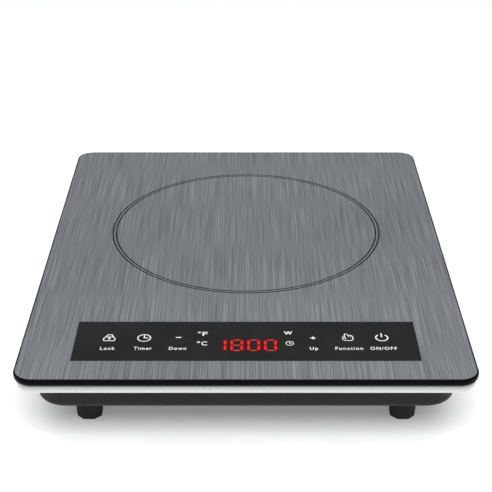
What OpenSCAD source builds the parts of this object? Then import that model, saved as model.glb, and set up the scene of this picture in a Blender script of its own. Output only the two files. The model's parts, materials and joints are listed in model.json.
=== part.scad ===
// Portable induction cooktop with one cooking zone.
// Origin: centre of the footprint on the table. Front is -Y, up is +Z, millimetres.

/* [Glass top] */
// Width of the glass plate, side to side
glass_w = 288; // [284:1:296]
// Depth of the glass plate, front to back
glass_d = 358; // [354:1:366]
// Thickness of the glass plate
glass_t = 4; // [3.5:0.1:4.5]
// Radius of the plate's corners in plan
glass_corner_r = 12.5; // [10:0.5:15]

/* [Body] */
// Height of the whole cooktop above the table
overall_h = 52; // [51:0.5:56]
// Height of the white frame under the glass
frame_h = 5.3; // [5:0.1:6]
// How far the white frame stands back from the glass edge
frame_inset = 1.1; // [0.8:0.1:2]
// How far the lower housing stands back from the glass edge
base_inset = 11.5; // [11:0.5:13]
// Radius of the lower housing's corners in plan
base_corner_r = 19; // [14:1:20]
// Wall thickness of the moulded housing
wall = 2.2; // [1.8:0.1:2.4]
// Height of the feet
foot_h = 23.7; // [22:0.1:25]
// Width of a foot where it meets the table
foot_w = 15.9; // [12:0.1:16]

/* [Cooking zone] */
// Distance of the zone's centre behind the middle of the plate
zone_y = 30; // [24:1:34]
// Radius of the innermost turn of the coil
coil_r_in = 25; // [24:0.5:28]
// Number of half turns in the coil
coil_half_turns = 38; // [30:2:38]
// Diameter of the coil's stranded wire
coil_wire_d = 2.8; // [2:0.1:2.8]

/* [Fan] */
// Side of the square fan frame
fan_size = 80; // [78:1:82]
// Thickness of the fan frame
fan_t = 15; // [15:0.5:16]
// Number of blades on the impeller
fan_blades = 7; // [5:1:9]
// Play between the fan's shaft and its bearing, on the radius
shaft_play = 0.03; // [0.01:0.01:0.1]

/* [Hidden] */

$fn = 64;
skin = 0.01; // overshoot of a cutting tool past the face it cuts
push_fit = 0.05; // room on the radius for a part pushed into its seat

// heights of the stack, from the table up
glass_z = overall_h - glass_t;
gasket_t = 0.7;
gasket_inset = 0.6;
gasket_width = 17;
frame_top_z = glass_z - gasket_t;
frame_z = frame_top_z - frame_h;
flange_t = 2;
flange_reach = 8;
flange_z = frame_top_z - flange_t;
floor_t = 2;
floor_top_z = foot_h + floor_t;
base_edge_r = 4;

// plan sizes of the housing
frame_w = glass_w - 2 * frame_inset;
frame_d = glass_d - 2 * frame_inset;
frame_corner_r = glass_corner_r + 1;
frame_wall = 2.2;
base_w = glass_w - 2 * base_inset;
base_d = glass_d - 2 * base_inset;
belly_w = 236;
belly_d = 244;
belly_corner_r = 14;
belly_edge_r = 3;
belly_z = 13;
belly_floor_z = belly_z + floor_t;

// feet
foot_x = 102.3;
foot_y = 137.6;
foot_flare = 1.35; // how much wider each side is at the top
foot_chamfer = 4.3;
stem_r = 3.9;
stem_hole_r = 4;
stem_play = 0.2;
barb_r = 4.7;
barb_tip_r = 3.4;
barb_h = 3;

// screws that join the lower housing to the frame
boss_x = 123;
boss_y = [-140, 0, 140];
boss_r = 3.5;
boss_gap = 0.5;
cup_r = 5.5;
cup_h = 3;
lug_w = 12;
lug_shift = 1;
screw_d = 3;
pilot_d = 3.1;
pilot_end = 2; // solid plastic left above the pilot bore
screw_hole_d = 3.4;
screw_head_d = 6.6;
screw_head_h = 2;
head_recess_d = 7.4;
head_recess_h = 2.5;
housing_screw_l = 12;

// cord bushing in the rear wall
cord_x = -80;
cord_z = 33.5;
cord_bore_d = 7.2;
grommet_r = 6;
grommet_flange_r = 7.5;
grommet_flange_t = 2;
grommet_barb_r = 7;
grommet_tip_r = 5;
grommet_tail = 3;

// vents
vent_w = 3;
vent_h = 11;
vent_pitch = 9;
vent_z = 28;
rear_vent_x = [-45, 108];
grille_r = 37;
grille_slot_w = 4;
grille_pitch = 7;
grille_rim = 1;
belly_vents_per_side = 5;
belly_vent_l = 46;
belly_vent_y = 74;

// coil stack
winding_pitch = coil_wire_d + 0.3;
coil_r_out = coil_r_in + winding_pitch * coil_half_turns / 2;
former_t = 2.3;
former_z = 41.7;
former_r = coil_r_out + 4;
former_hub_r = 17;
former_top_z = former_z + former_t;
winding_z = former_top_z + coil_wire_d / 2;
mica_t = 0.8;
mica_z = winding_z + coil_wire_d / 2;
mica_hole_r = 8;
ferrite_l = 52;
ferrite_w = 14;
ferrite_t = 5;
ferrite_r = 30;
ferrite_count = 8;
rail_t = 1.5;
ear_r = 100;
ear_angles = [90, 210, 330];
ear_size = 6;
ear_root = 2;
coil_post_r = 5;
coil_post_trim = 4;
pad_t = 2;
coil_screw_l = 14;
lead_r = 1.4;
lead_hole_r = 3;
inner_lead_hole = [22.5, -9];
outer_lead_hole = [coil_r_out, 8];
terminal_x = 4;
terminal_y = [-44, -52];
terminal_base_h = 4;
terminal_stud_r = 2;
terminal_h = 6;

// thermistor at the middle of the coil
holder_r = 13.9;
holder_z = 38;
holder_h = 7;
holder_floor = 2;
holder_wire_hole_r = 2;
bead_r = 3;
bead_z = holder_z + holder_floor;
signal_wire_r = 0.7;
signal_wire_gap = 0.9; // from the middle of a pair to each wire

// power board, in the deep part of the housing beside the fan
pcb_x = -49;
pcb_y = -73;
pcb_w = 126;
pcb_d = 90;
pcb_t = 1.6;
pcb_corner_r = 3;
standoff_h = 4;
pcb_z = belly_floor_z + standoff_h;
pcb_top_z = pcb_z + pcb_t;
pcb_hole = [59, 41];
pcb_screw_l = 5;
pcb_screw_head_d = 5.6;
standoff_r = 3.5;

// screws of the boards and the fan
small_screw_d = 2.5;
small_pilot_d = 2.6;

// what stands on the power board: place of the middle, then width, depth and height
resonant_at = [-22, -46];
resonant_size = [38, 18, 15];
dc_link_at = [-60, -50];
dc_link_size = [30, 13, 15];
emi_at = [-66, -34];
emi_size = [24, 8, 13];
film_edge_r = 1.5;
choke_at = [-97, -46];
choke_base = [18, 9, 2];
choke_r = 9;
choke_bore_r = 4;
choke_core_w = 6;
choke_wire_t = 1.2; // how far the windings stand proud of the core's ring
choke_span = 130; // degrees of the ring under each winding
choke_winding_w = 8;
inductor_at = [-94, -72];
inductor_r = 9.5;
inductor_bore_r = 4;
inductor_h = 12;
cheek_r = 11;
cheek_t = 2;
transformer_at = [-60, -112];
transformer_w = 16;
transformer_base = [transformer_w, 10, 3];
transformer_window_h = 7;
transformer_winding_w = 10;
transformer_core_d = 8;
transformer_limb_w = 3;
transformer_yoke_h = 2;
electrolytic_x = [-42, -30, -18];
electrolytic_y = -112;
electrolytic_r = 4.5;
electrolytic_top_r = 3.9;
electrolytic_h = 11;
electrolytic_edge = 0.6;
fuse_at = [6, -68];
fuse_r = 2.6;
fuse_l = 20;
fuse_z = 3.9;
clip_y = 8.5;
clip_base = [5, 4, 1.5];
clip_blade = [2, 4, 3];
varistor_at = [-80, -48];
varistor_r = 6;
varistor_t = 4;
varistor_z = 9;
varistor_leg_y = 3;
varistor_leg = [0.8, 0.8, 5];
controller_at = [-101, -92];
controller_size = [7.5, 12];
controller_legs = 8;
driver_at = [0, -100];
driver_size = [4, 5];
driver_legs = 4;
chip_t = 1.7;
chip_gap = 0.3;
chip_leg_t = 0.6;
chip_leg_l = 2;
buzzer_at = [2, -86];
buzzer_r = 6;
buzzer_h = 8.5;
buzzer_hole_r = 1;
buzzer_hole_depth = 2.5;
fan_plug_at = [9.5, -100];
thermistor_plug_at = [-48, -33];
tab_x = [-98, -90];
tab_y = -33;
tab_base = [6.3, 3, 1.5];
tab_blade = [6.3, 0.8, 9];

// heatsink and the two power devices under it
sink_x = -40;
sink_y = -84;
sink_w = 70;
sink_d = 44;
sink_plate_t = 3;
sink_plate_z = 26;
sink_top_z = 41;
sink_leg_t = 3;
fin_t = 1.2;
fin_count = 14;
device_x = 17; // each power device stands this far to one side of the heatsink's middle
device_screw_y = 5;
device_screw_l = 6;
igbt_size = [16, 21, 4.9];
igbt_legs = 3;
bridge_size = [25, 20, 4.6];
bridge_legs = 4;
device_leg_w = 1.2;
device_leg_t = 0.8;
device_leg_reach = 3;

// fan, standing on the floor of the deep part
fan_x = 62;
fan_y = -70;
fan_z = belly_floor_z;
fan_corner_r = 4;
duct_r = fan_size / 2 - 1.5;
tip_gap = 1.2;
fan_hole = fan_size / 2 - 4.25;
fan_hole_r = 2.2;
fan_post_r = 2;
fan_post_h = 12;
fan_pilot_depth = 10;
fan_screw_grip = 8;
seat_r = 15.5;
seat_t = 2.5;
spoke_w = 4;
spoke_turn = 20;
spoke_step = 90;
tube_r = 4.4;
bearing_r = 2.9;
bearing_z = 3.4;
shaft_r = 1.5;
shaft_z = 1.8;
shaft_l = 9.6;
hub_r = 15;
hub_z = 1;
hub_h = 10.6;
hub_wall = 1.2;
hub_core_gap = 0.4;
blade_t = 1.2;
blade_chord = 15;
blade_pitch = 38;
magnet_t = 1.6;
magnet_z = 3.4;
magnet_h = 7.2;
stator_r = 11.7;
stator_z = 4.6;
stator_t = 4;
pole_count = 4;
pole_w = 3;
shoe_t = 2.2;
shoe_gap = 2;
stator_ring = 1.4;
winding_w = 6.4;
winding_rise = 0.8; // how far a winding stands above and below its pole
winding_gap = 0.15;

// control board under the front of the glass
panel_y = -133;
control_w = 200;
control_d = 40;
control_t = 1.2;
control_z = 38.4;
control_top_z = control_z + control_t;
control_hole = [97, 16];
bracket_w = 208;
bracket_d = 46;
bracket_t = 2;
bracket_z = 34;
bracket_corner_r = 3;
bracket_post_r = 3;
leg_x = 70;
leg_y = [-150, -127];
leg_r = 4;
peg_r = 2;
peg_h = 3;
peg_play = 0.1;
control_screw_head_d = 5;
control_screw_head_h = 1.6;
control_screw_end = 0.5;
key_x = 43.3; // the key nearest the middle, on each side
key_pitch = 22.3;
keys_per_side = 3;
key_y = -129.5;
key_spring_r = 4;
key_wire_r = 0.4;
display_x = 0;
display_y = -139.3;
display_w = 50.3;
display_d = 19;
display_h = 8;
indicators = [[-28, -123.4], [-28, -136.6], [27.5, -123.4], [27.5, -136.6]];
indicator_r = 1.5;
indicator_h = 5;
indicator_dome_h = 0.8;
ribbon_x = -83;
ribbon_w = 10;
ribbon_t = 0.8;
header_w = 13;
header_d = 6;
header_h = 7;
control_header_y = -117;
control_header_h = 4;
power_header_y = -98;
ribbon_flat = 10;
ribbon_drop = 6;

// ---- shared shapes ----

module rounded_rect(w, d, r) {
    square([w - 2 * r, d], center = true);
    square([w, d - 2 * r], center = true);
    for (x = [-1, 1], y = [-1, 1])
        translate([x * (w / 2 - r), y * (d / 2 - r)]) circle(r);
}

module plate(w, d, h, r) {
    linear_extrude(h) rounded_rect(w, d, r);
}

// Quarter disc below and to the right of the origin
module quarter_round(r) {
    intersection() {
        circle(r);
        translate([0, -r]) square(r);
    }
}

// Rounded block whose bottom edge is rolled with radius e
module tub(w, d, h, r, e) {
    translate([0, 0, e]) plate(w, d, h - e, r);
    plate(w - 2 * e, d - 2 * e, e, r - e);
    for (turn = [0, 180]) {
        rotate(turn) translate([w / 2 - e, d / 2 - r, e]) rotate([90, 0, 0])
            linear_extrude(d - 2 * r) quarter_round(e);
        rotate(turn + 90) translate([d / 2 - e, w / 2 - r, e]) rotate([90, 0, 0])
            linear_extrude(w - 2 * r) quarter_round(e);
    }
    for (corner = [[1, 1, 0], [-1, 1, 90], [-1, -1, 180], [1, -1, 270]])
        translate([corner.x * (w / 2 - r), corner.y * (d / 2 - r), e]) rotate(corner.z)
            rotate_extrude(angle = 90) translate([r - e, 0]) quarter_round(e);
}

module tube(r_out, r_in, h) {
    difference() {
        cylinder(r = r_out, h = h);
        translate([0, 0, -skin]) cylinder(r = r_in, h = h + 2 * skin);
    }
}

// Box standing on z = 0 with its middle over the origin
module block(w, d, h) {
    translate([-w / 2, -d / 2, 0]) cube([w, d, h]);
}

// Pan-head screw: the head stands on z = 0 and the shank goes down
module screw(d, l, head_d, head_h) {
    slot_w = d / 4;
    difference() {
        union() {
            cylinder(d = head_d, h = head_h);
            translate([0, 0, -l]) cylinder(d = d, h = l + skin);
        }
        for (turn = [0, 90]) rotate(turn)
            translate([0, 0, head_h / 2]) block(head_d * 0.6, slot_w, head_h);
    }
}

// Half a turn of round wire, from +X to -X through +Y
module half_turn(r, wire_r) {
    rotate_extrude(angle = 180, $fn = 96) translate([r, 0]) circle(wire_r, $fn = 24);
}

function unit(v) = v / norm(v);

// Cuts the corners off a route, which rounds its bends
function round_off(p, times) = times == 0 ? p : round_off([
    p[0],
    for (i = [0 : len(p) - 2]) each [p[i] * 0.75 + p[i + 1] * 0.25, p[i] * 0.25 + p[i + 1] * 0.75],
    p[len(p) - 1]
], times - 1);

// Round wire along a route, moved across it by offset; lean is a direction that the route never takes
module wire(route, r, lean, offset = 0, sides = 8) {
    p = [for (q = round_off(route, 2)) q + offset * unit(lean)];
    last = len(p) - 1;
    points = [for (i = [0 : last]) each
        let (t = unit(p[min(i + 1, last)] - p[max(i - 1, 0)]), u = unit(cross(lean, t)), v = cross(t, u))
        [for (j = [0 : sides - 1]) p[i] + r * (cos(360 * j / sides) * u + sin(360 * j / sides) * v)]];
    walls = [for (i = [0 : last - 1], j = [0 : sides - 1])
        let (a = i * sides + j, b = i * sides + (j + 1) % sides) [a, a + sides, b + sides, b]];
    start = [for (j = [0 : sides - 1]) j];
    end = [for (j = [sides - 1 : -1 : 0]) last * sides + j];
    polyhedron(points, concat(walls, [start], [end]));
}

// ---- places ----

module at_zone(z) {
    translate([0, zone_y, z]) children();
}

module at_ears(z) {
    for (a = ear_angles) at_zone(z) rotate(a) translate([ear_r, 0, 0]) children();
}

module at_bosses(z) {
    for (x = [-1, 1], y = boss_y) translate([x * boss_x, y, z]) children();
}

module at_feet(z) {
    for (x = [-1, 1], y = [-1, 1]) translate([x * foot_x, y * foot_y, z]) children();
}

module at_pcb_holes(z) {
    for (x = [-1, 1], y = [-1, 1])
        translate([pcb_x + x * pcb_hole.x, pcb_y + y * pcb_hole.y, z]) children();
}

module on_pcb(place) {
    translate([place.x, place.y, pcb_top_z]) children();
}

module at_devices(z) {
    for (x = [-1, 1]) translate([sink_x + x * device_x, sink_y + device_screw_y, z]) children();
}

module at_fan(z) {
    translate([fan_x, fan_y, fan_z + z]) children();
}

module at_fan_holes(z) {
    for (x = [-1, 1], y = [-1, 1]) at_fan(z) translate([x * fan_hole, y * fan_hole, 0]) children();
}

module at_control_holes(z) {
    for (x = [-1, 1], y = [-1, 1])
        translate([x * control_hole.x, panel_y + y * control_hole.y, z]) children();
}

module at_legs(z) {
    for (x = [-1, 1], y = leg_y) translate([x * leg_x, y, z]) children();
}

module at_keys(z) {
    for (x = [-1, 1], i = [0 : keys_per_side - 1])
        translate([x * (key_x + i * key_pitch), key_y, z]) children();
}

// ---- outer shells ----

module glass_plate() {
    color([0.47, 0.49, 0.5])
        translate([0, 0, glass_z]) plate(glass_w, glass_d, glass_t, glass_corner_r);
}

module glass_gasket() {
    w = glass_w - 2 * gasket_inset;
    d = glass_d - 2 * gasket_inset;
    color([0.05, 0.05, 0.05]) translate([0, 0, frame_top_z]) linear_extrude(gasket_t)
        difference() {
            rounded_rect(w, d, glass_corner_r);
            square([w - 2 * gasket_width, d - 2 * gasket_width], center = true);
        }
}

module top_frame() {
    flange_w = base_w - 2 * flange_reach;
    flange_d = base_d - 2 * flange_reach;
    boss_z = foot_h + head_recess_h + floor_t + boss_gap;
    color([0.93, 0.94, 0.94]) difference() {
        union() {
            translate([0, 0, frame_z]) difference() {
                plate(frame_w, frame_d, frame_h, frame_corner_r);
                translate([0, 0, -skin])
                    plate(base_w, base_d, frame_h - flange_t + skin, base_corner_r);
                plate(flange_w, flange_d, frame_h + skin, base_corner_r - flange_reach);
            }
            for (x = [-1, 1], y = boss_y)
                translate([x * (boss_x - lug_shift), y, flange_z]) block(lug_w, lug_w, flange_t);
            at_bosses(boss_z) cylinder(r = boss_r, h = flange_z + skin - boss_z);
        }
        translate([0, 0, frame_z + frame_wall]) linear_extrude(frame_h) difference() {
            rounded_rect(frame_w - 2 * frame_wall, frame_d - 2 * frame_wall, frame_corner_r - frame_wall);
            rounded_rect(base_w + 2 * frame_wall, base_d + 2 * frame_wall, base_corner_r + frame_wall);
        }
        at_bosses(foot_h) cylinder(d = pilot_d, h = flange_z - foot_h - pilot_end);
    }
}

module intake_grille() {
    slots = floor(grille_r / grille_pitch);
    for (i = [-slots : slots]) {
        half = sqrt(pow(grille_r, 2) - pow(i * grille_pitch, 2));
        translate([i * grille_pitch, 0, 0]) block(grille_slot_w, 2 * (half - grille_rim), 2 * floor_t);
    }
}

module rear_vents() {
    for (x = [rear_vent_x[0] : vent_pitch : rear_vent_x[1]])
        translate([x, base_d / 2 - wall / 2, vent_z]) block(vent_w, 2 * wall, vent_h);
}

module belly_vents() {
    for (i = [-belly_vents_per_side : belly_vents_per_side])
        translate([i * vent_pitch, belly_vent_y, belly_z - skin])
            block(vent_w, belly_vent_l, floor_t + 2 * skin);
}

module base_shell() {
    difference() {
        union() {
            translate([0, 0, foot_h]) tub(base_w, base_d, flange_z - foot_h, base_corner_r, base_edge_r);
            translate([0, 0, belly_z])
                tub(belly_w, belly_d, foot_h - belly_z + floor_t / 2, belly_corner_r, belly_edge_r);
        }
        translate([0, 0, floor_top_z])
            plate(base_w - 2 * wall, base_d - 2 * wall, flange_z, base_corner_r - wall);
        translate([0, 0, belly_floor_z])
            plate(belly_w - 2 * floor_t, belly_d - 2 * floor_t, flange_z, belly_corner_r - floor_t);
    }
}

module base_housing() {
    coil_post_top = former_z - pad_t;
    color([0.165, 0.17, 0.175]) difference() {
        union() {
            base_shell();
            at_bosses(foot_h + skin) cylinder(r = cup_r, h = floor_t + cup_h - skin);
            at_pcb_holes(belly_floor_z - skin) cylinder(r = standoff_r, h = standoff_h + skin);
            at_fan_holes(-skin) cylinder(r = fan_post_r, h = fan_post_h + skin);
            at_legs(floor_top_z - skin) cylinder(r = peg_r, h = peg_h + skin);
            intersection() {
                at_ears(belly_floor_z - skin) cylinder(r = coil_post_r, h = coil_post_top - belly_floor_z);
                union() {
                    translate([0, 0, floor_top_z - skin])
                        block(base_w, base_d - 2 * coil_post_trim, flange_z);
                    block(belly_w - 2 * coil_post_trim, belly_d - 2 * coil_post_trim, flange_z);
                }
            }
        }
        at_bosses(foot_h - skin) cylinder(d = head_recess_d, h = head_recess_h + skin);
        at_bosses(foot_h) cylinder(d = screw_hole_d, h = flange_z);
        at_feet(foot_h - skin) cylinder(r = stem_hole_r, h = floor_t + 2 * skin);
        at_pcb_holes(belly_floor_z + skin) cylinder(d = small_pilot_d, h = standoff_h);
        at_fan_holes(fan_post_h - fan_pilot_depth)
            cylinder(d = small_pilot_d, h = fan_pilot_depth + skin);
        at_ears(coil_post_top - coil_screw_l) cylinder(d = pilot_d, h = coil_screw_l + skin);
        at_fan(-floor_t - skin) intake_grille();
        rear_vents();
        belly_vents();
        translate([cord_x, base_d / 2 + skin, cord_z]) rotate([90, 0, 0])
            cylinder(r = grommet_r + push_fit, h = wall + 2 * skin);
    }
}

// Prism whose section, seen along Y, is a trapezium from bottom to top width
module flared_slab(bottom, top, h, l) {
    rotate([90, 0, 0]) translate([0, 0, -l / 2]) linear_extrude(l)
        polygon([[-bottom / 2, 0], [bottom / 2, 0], [top / 2, h], [-top / 2, h]]);
}

module foot() {
    top_w = foot_w + 2 * foot_flare;
    across = (foot_w - foot_chamfer) * sqrt(2);
    across_top = (top_w - foot_chamfer) * sqrt(2);
    color([0.13, 0.13, 0.135]) {
        intersection() {
            flared_slab(foot_w, top_w, foot_h, 2 * top_w);
            rotate(90) flared_slab(foot_w, top_w, foot_h, 2 * top_w);
            rotate(45) flared_slab(across, across_top, foot_h, 2 * top_w);
            rotate(135) flared_slab(across, across_top, foot_h, 2 * top_w);
        }
        translate([0, 0, foot_h - skin]) cylinder(r = stem_r, h = floor_t + stem_play + skin);
        translate([0, 0, floor_top_z + stem_play]) cylinder(r1 = barb_r, r2 = barb_tip_r, h = barb_h);
    }
}

module foot_front_left() {
    translate([-foot_x, -foot_y, 0]) foot();
}

module foot_front_right() {
    translate([foot_x, -foot_y, 0]) foot();
}

module foot_rear_left() {
    translate([-foot_x, foot_y, 0]) foot();
}

module foot_rear_right() {
    translate([foot_x, foot_y, 0]) foot();
}

module housing_screws() {
    color([0.6, 0.6, 0.62]) at_bosses(foot_h + head_recess_h) mirror([0, 0, 1])
        screw(screw_d, housing_screw_l, screw_head_d, screw_head_h);
}

module cord_grommet() {
    wall_y = base_d / 2;
    color([0.08, 0.08, 0.085]) translate([cord_x, wall_y, cord_z]) rotate([90, 0, 0])
        difference() {
            union() {
                translate([0, 0, -grommet_flange_t]) cylinder(r = grommet_flange_r, h = grommet_flange_t);
                cylinder(r = grommet_r, h = wall);
                translate([0, 0, wall]) cylinder(r1 = grommet_barb_r, r2 = grommet_tip_r, h = grommet_tail);
            }
            translate([0, 0, -grommet_flange_t - skin])
                cylinder(d = cord_bore_d, h = grommet_flange_t + wall + grommet_tail + 2 * skin);
        }
}

// ---- coil ----

module coil_former() {
    color([0.86, 0.83, 0.76]) difference() {
        at_zone(0) {
            translate([0, 0, former_z]) cylinder(r = former_r, h = former_t);
            translate([0, 0, former_z - ferrite_t]) cylinder(r = former_hub_r, h = ferrite_t + former_t);
            for (a = ear_angles) rotate(a) translate([former_r - ear_root, -ear_size, former_z])
                cube([ear_r - former_r + ear_root, 2 * ear_size, former_t]);
            for (a = ear_angles) rotate(a) translate([ear_r, 0, former_z])
                cylinder(r = ear_size, h = former_t);
            for (i = [0 : ferrite_count - 1], side = [-1, 1]) rotate(360 * (i + 0.5) / ferrite_count)
                translate([ferrite_r, side * (ferrite_w + rail_t) / 2 - rail_t / 2, former_z - ferrite_t])
                    cube([ferrite_l, rail_t, ferrite_t + skin]);
        }
        at_zone(former_z - ferrite_t - skin)
            cylinder(r = holder_r + push_fit, h = ferrite_t + former_t + 2 * skin);
        at_ears(former_z - skin) cylinder(d = screw_hole_d, h = former_t + 2 * skin);
        for (hole = [inner_lead_hole, outer_lead_hole])
            translate([hole.x, zone_y + hole.y, former_z - skin])
                cylinder(r = lead_hole_r, h = former_t + 2 * skin);
    }
}

module coil_winding() {
    color([0.72, 0.36, 0.16]) at_zone(winding_z) for (i = [0 : coil_half_turns - 1]) {
        shift = i % 2 == 0 ? 0 : winding_pitch / 2;
        translate([shift, 0, 0]) rotate(180 * i)
            half_turn(coil_r_in + winding_pitch * i / 2, coil_wire_d / 2);
    }
}

module ferrite_bars() {
    color([0.16, 0.16, 0.17]) at_zone(former_z - ferrite_t)
        for (i = [0 : ferrite_count - 1]) rotate(360 * (i + 0.5) / ferrite_count)
            translate([ferrite_r, -ferrite_w / 2, 0]) cube([ferrite_l, ferrite_w, ferrite_t]);
}

module mica_sheet() {
    color([0.78, 0.72, 0.58]) at_zone(mica_z) tube(former_r, mica_hole_r, mica_t);
}

module coil_pads() {
    color([0.75, 0.25, 0.2]) at_ears(former_z - pad_t) tube(coil_post_r, screw_hole_d / 2, pad_t);
}

module coil_screws() {
    color([0.6, 0.6, 0.62]) at_ears(former_top_z)
        screw(screw_d, coil_screw_l, screw_head_d, screw_head_h);
}

module thermistor_holder() {
    color([0.85, 0.86, 0.84]) difference() {
        at_zone(holder_z) cylinder(r = holder_r, h = holder_h);
        at_zone(bead_z) cylinder(r = bead_r + push_fit, h = holder_h);
        at_zone(holder_z - skin) cylinder(r = holder_wire_hole_r, h = holder_floor + 2 * skin);
    }
}

module coil_thermistor() {
    color([0.1, 0.1, 0.1]) at_zone(bead_z) cylinder(r = bead_r, h = glass_z - bead_z);
}

module thermistor_lead() {
    plug = thermistor_plug_at;
    color([0.9, 0.9, 0.88]) for (side = [-1, 1]) wire([
        [0, zone_y, bead_z], [0, zone_y, 33], [-18, 8, 31],
        [plug.x, -16, 31], [plug.x, plug.y, 33], [plug.x, plug.y, pcb_top_z + header_h]
    ], signal_wire_r, [0.8, -0.6, 0], side * signal_wire_gap);
}

module coil_leads() {
    color([0.75, 0.12, 0.1]) {
        wire([
            [coil_r_in, zone_y, winding_z], [coil_r_in - 0.3, zone_y - 4, winding_z],
            [inner_lead_hole.x, zone_y + inner_lead_hole.y, winding_z],
            [inner_lead_hole.x, zone_y + inner_lead_hole.y, 33],
            [14, -20, 31], [terminal_x, terminal_y[0], 33],
            [terminal_x, terminal_y[0], pcb_top_z + terminal_h]
        ], lead_r, [1, -0.3, 0]);
        wire([
            [coil_r_out, zone_y, winding_z], [coil_r_out, zone_y + 4, winding_z],
            [outer_lead_hole.x, zone_y + outer_lead_hole.y, winding_z],
            [outer_lead_hole.x, zone_y + outer_lead_hole.y, 34],
            [44, -8, 34], [terminal_x, terminal_y[1], 35],
            [terminal_x, terminal_y[1], pcb_top_z + terminal_h]
        ], lead_r, [1, -0.8, 0]);
    }
}

module coil_terminals() {
    color([0.8, 0.68, 0.35]) for (y = terminal_y) on_pcb([terminal_x, y]) {
        cylinder(r = 1.5 * terminal_stud_r, h = terminal_base_h, $fn = 6);
        cylinder(r = terminal_stud_r, h = terminal_h);
    }
}

// ---- power board ----

module power_pcb() {
    color([0.72, 0.62, 0.35]) difference() {
        translate([pcb_x, pcb_y, pcb_z]) plate(pcb_w, pcb_d, pcb_t, pcb_corner_r);
        at_pcb_holes(pcb_z - skin) cylinder(d = screw_hole_d, h = pcb_t + 2 * skin);
    }
}

module pcb_screws() {
    color([0.6, 0.6, 0.62]) at_pcb_holes(pcb_top_z)
        screw(small_screw_d, pcb_screw_l, pcb_screw_head_d, screw_head_h);
}

module heatsink() {
    fin_pitch = (sink_w - fin_t) / (fin_count - 1);
    color([0.75, 0.76, 0.78]) difference() {
        translate([sink_x, sink_y, 0]) {
            translate([0, 0, sink_plate_z]) block(sink_w, sink_d, sink_plate_t);
            for (i = [0 : fin_count - 1])
                translate([-sink_w / 2 + fin_t / 2 + i * fin_pitch, 0, sink_plate_z])
                    block(fin_t, sink_d, sink_top_z - sink_plate_z);
            for (x = [-1, 1]) translate([x * (sink_w - sink_leg_t) / 2, 0, pcb_top_z])
                block(sink_leg_t, sink_d, sink_plate_z - pcb_top_z + skin);
        }
        at_devices(sink_plate_z - skin) cylinder(d = pilot_d, h = sink_plate_t + 2 * skin);
        at_devices(sink_plate_z + sink_plate_t) cylinder(d = screw_head_d + 1, h = sink_top_z);
    }
}

module heatsink_screws() {
    color([0.6, 0.6, 0.62]) at_devices(sink_plate_z + sink_plate_t)
        screw(screw_d, device_screw_l, screw_head_d, screw_head_h);
}

// Power device lying flat under the heatsink, with its legs turned down into the board
module power_device(size, legs) {
    leg_pitch = size.x / (legs + 1);
    leg_z = sink_plate_z - size.z / 2;
    reach = device_leg_reach;
    difference() {
        translate([0, -device_screw_y, sink_plate_z - size.z]) block(size.x, size.y, size.z);
        translate([0, 0, sink_plate_z - size.z - skin]) cylinder(d = screw_hole_d, h = size.z + 2 * skin);
    }
    for (i = [1 : legs]) translate([i * leg_pitch - size.x / 2, -device_screw_y - size.y / 2, 0]) {
        translate([0, -reach / 2, leg_z]) block(device_leg_w, reach + skin, device_leg_t);
        translate([0, -reach, pcb_top_z])
            block(device_leg_w, device_leg_t, leg_z + device_leg_t - pcb_top_z);
    }
}

module igbt() {
    color([0.1, 0.1, 0.1])
        translate([sink_x + device_x, sink_y + device_screw_y, 0]) power_device(igbt_size, igbt_legs);
}

module bridge_rectifier() {
    color([0.12, 0.12, 0.12])
        translate([sink_x - device_x, sink_y + device_screw_y, 0]) power_device(bridge_size, bridge_legs);
}

// Box standing on z = 0, from its width, depth and height
module box(size) {
    block(size.x, size.y, size.z);
}

// Box-shaped film capacitor with softened upright edges
module film_capacitor(size) {
    plate(size.x, size.y, size.z, film_edge_r);
}

module resonant_capacitor() {
    color([0.75, 0.15, 0.12]) on_pcb(resonant_at) film_capacitor(resonant_size);
}

module dc_link_capacitor() {
    color([0.85, 0.75, 0.2]) on_pcb(dc_link_at) film_capacitor(dc_link_size);
}

module emi_capacitor() {
    color([0.85, 0.75, 0.2]) on_pcb(emi_at) film_capacitor(emi_size);
}

module common_mode_choke() {
    ring_t = choke_r - choke_bore_r;
    color([0.2, 0.45, 0.25]) on_pcb(choke_at) {
        box(choke_base);
        translate([0, 0, choke_r]) rotate([90, 0, 0]) {
            translate([0, 0, -choke_core_w / 2])
                tube(choke_r - choke_wire_t, choke_bore_r + choke_wire_t, choke_core_w);
            for (side = [0, 180]) rotate(side - choke_span / 2) rotate_extrude(angle = choke_span)
                translate([choke_bore_r, -choke_winding_w / 2]) square([ring_t, choke_winding_w]);
        }
    }
}

module bus_inductor() {
    color([0.72, 0.36, 0.16]) on_pcb(inductor_at) {
        cylinder(r = cheek_r, h = cheek_t);
        tube(inductor_r, inductor_bore_r, inductor_h);
        translate([0, 0, inductor_h]) cylinder(r = cheek_r, h = cheek_t);
    }
}

module flyback_transformer() {
    base_h = transformer_base.z;
    window_h = transformer_window_h;
    winding = transformer_winding_w;
    limb_x = (transformer_w - transformer_limb_w) / 2;
    color([0.85, 0.75, 0.25]) on_pcb(transformer_at) {
        box(transformer_base);
        translate([0, 0, base_h]) block(winding, winding, window_h);
        for (x = [-1, 1]) translate([x * limb_x, 0, base_h])
            block(transformer_limb_w, transformer_core_d, window_h);
        translate([0, 0, base_h + window_h])
            block(transformer_w, transformer_core_d, transformer_yoke_h);
    }
}

module electrolytic_capacitors() {
    color([0.12, 0.14, 0.22]) for (x = electrolytic_x) on_pcb([x, electrolytic_y]) {
        cylinder(r = electrolytic_r, h = electrolytic_h);
        translate([0, 0, electrolytic_h])
            cylinder(r1 = electrolytic_r, r2 = electrolytic_top_r, h = electrolytic_edge);
    }
}

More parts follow.
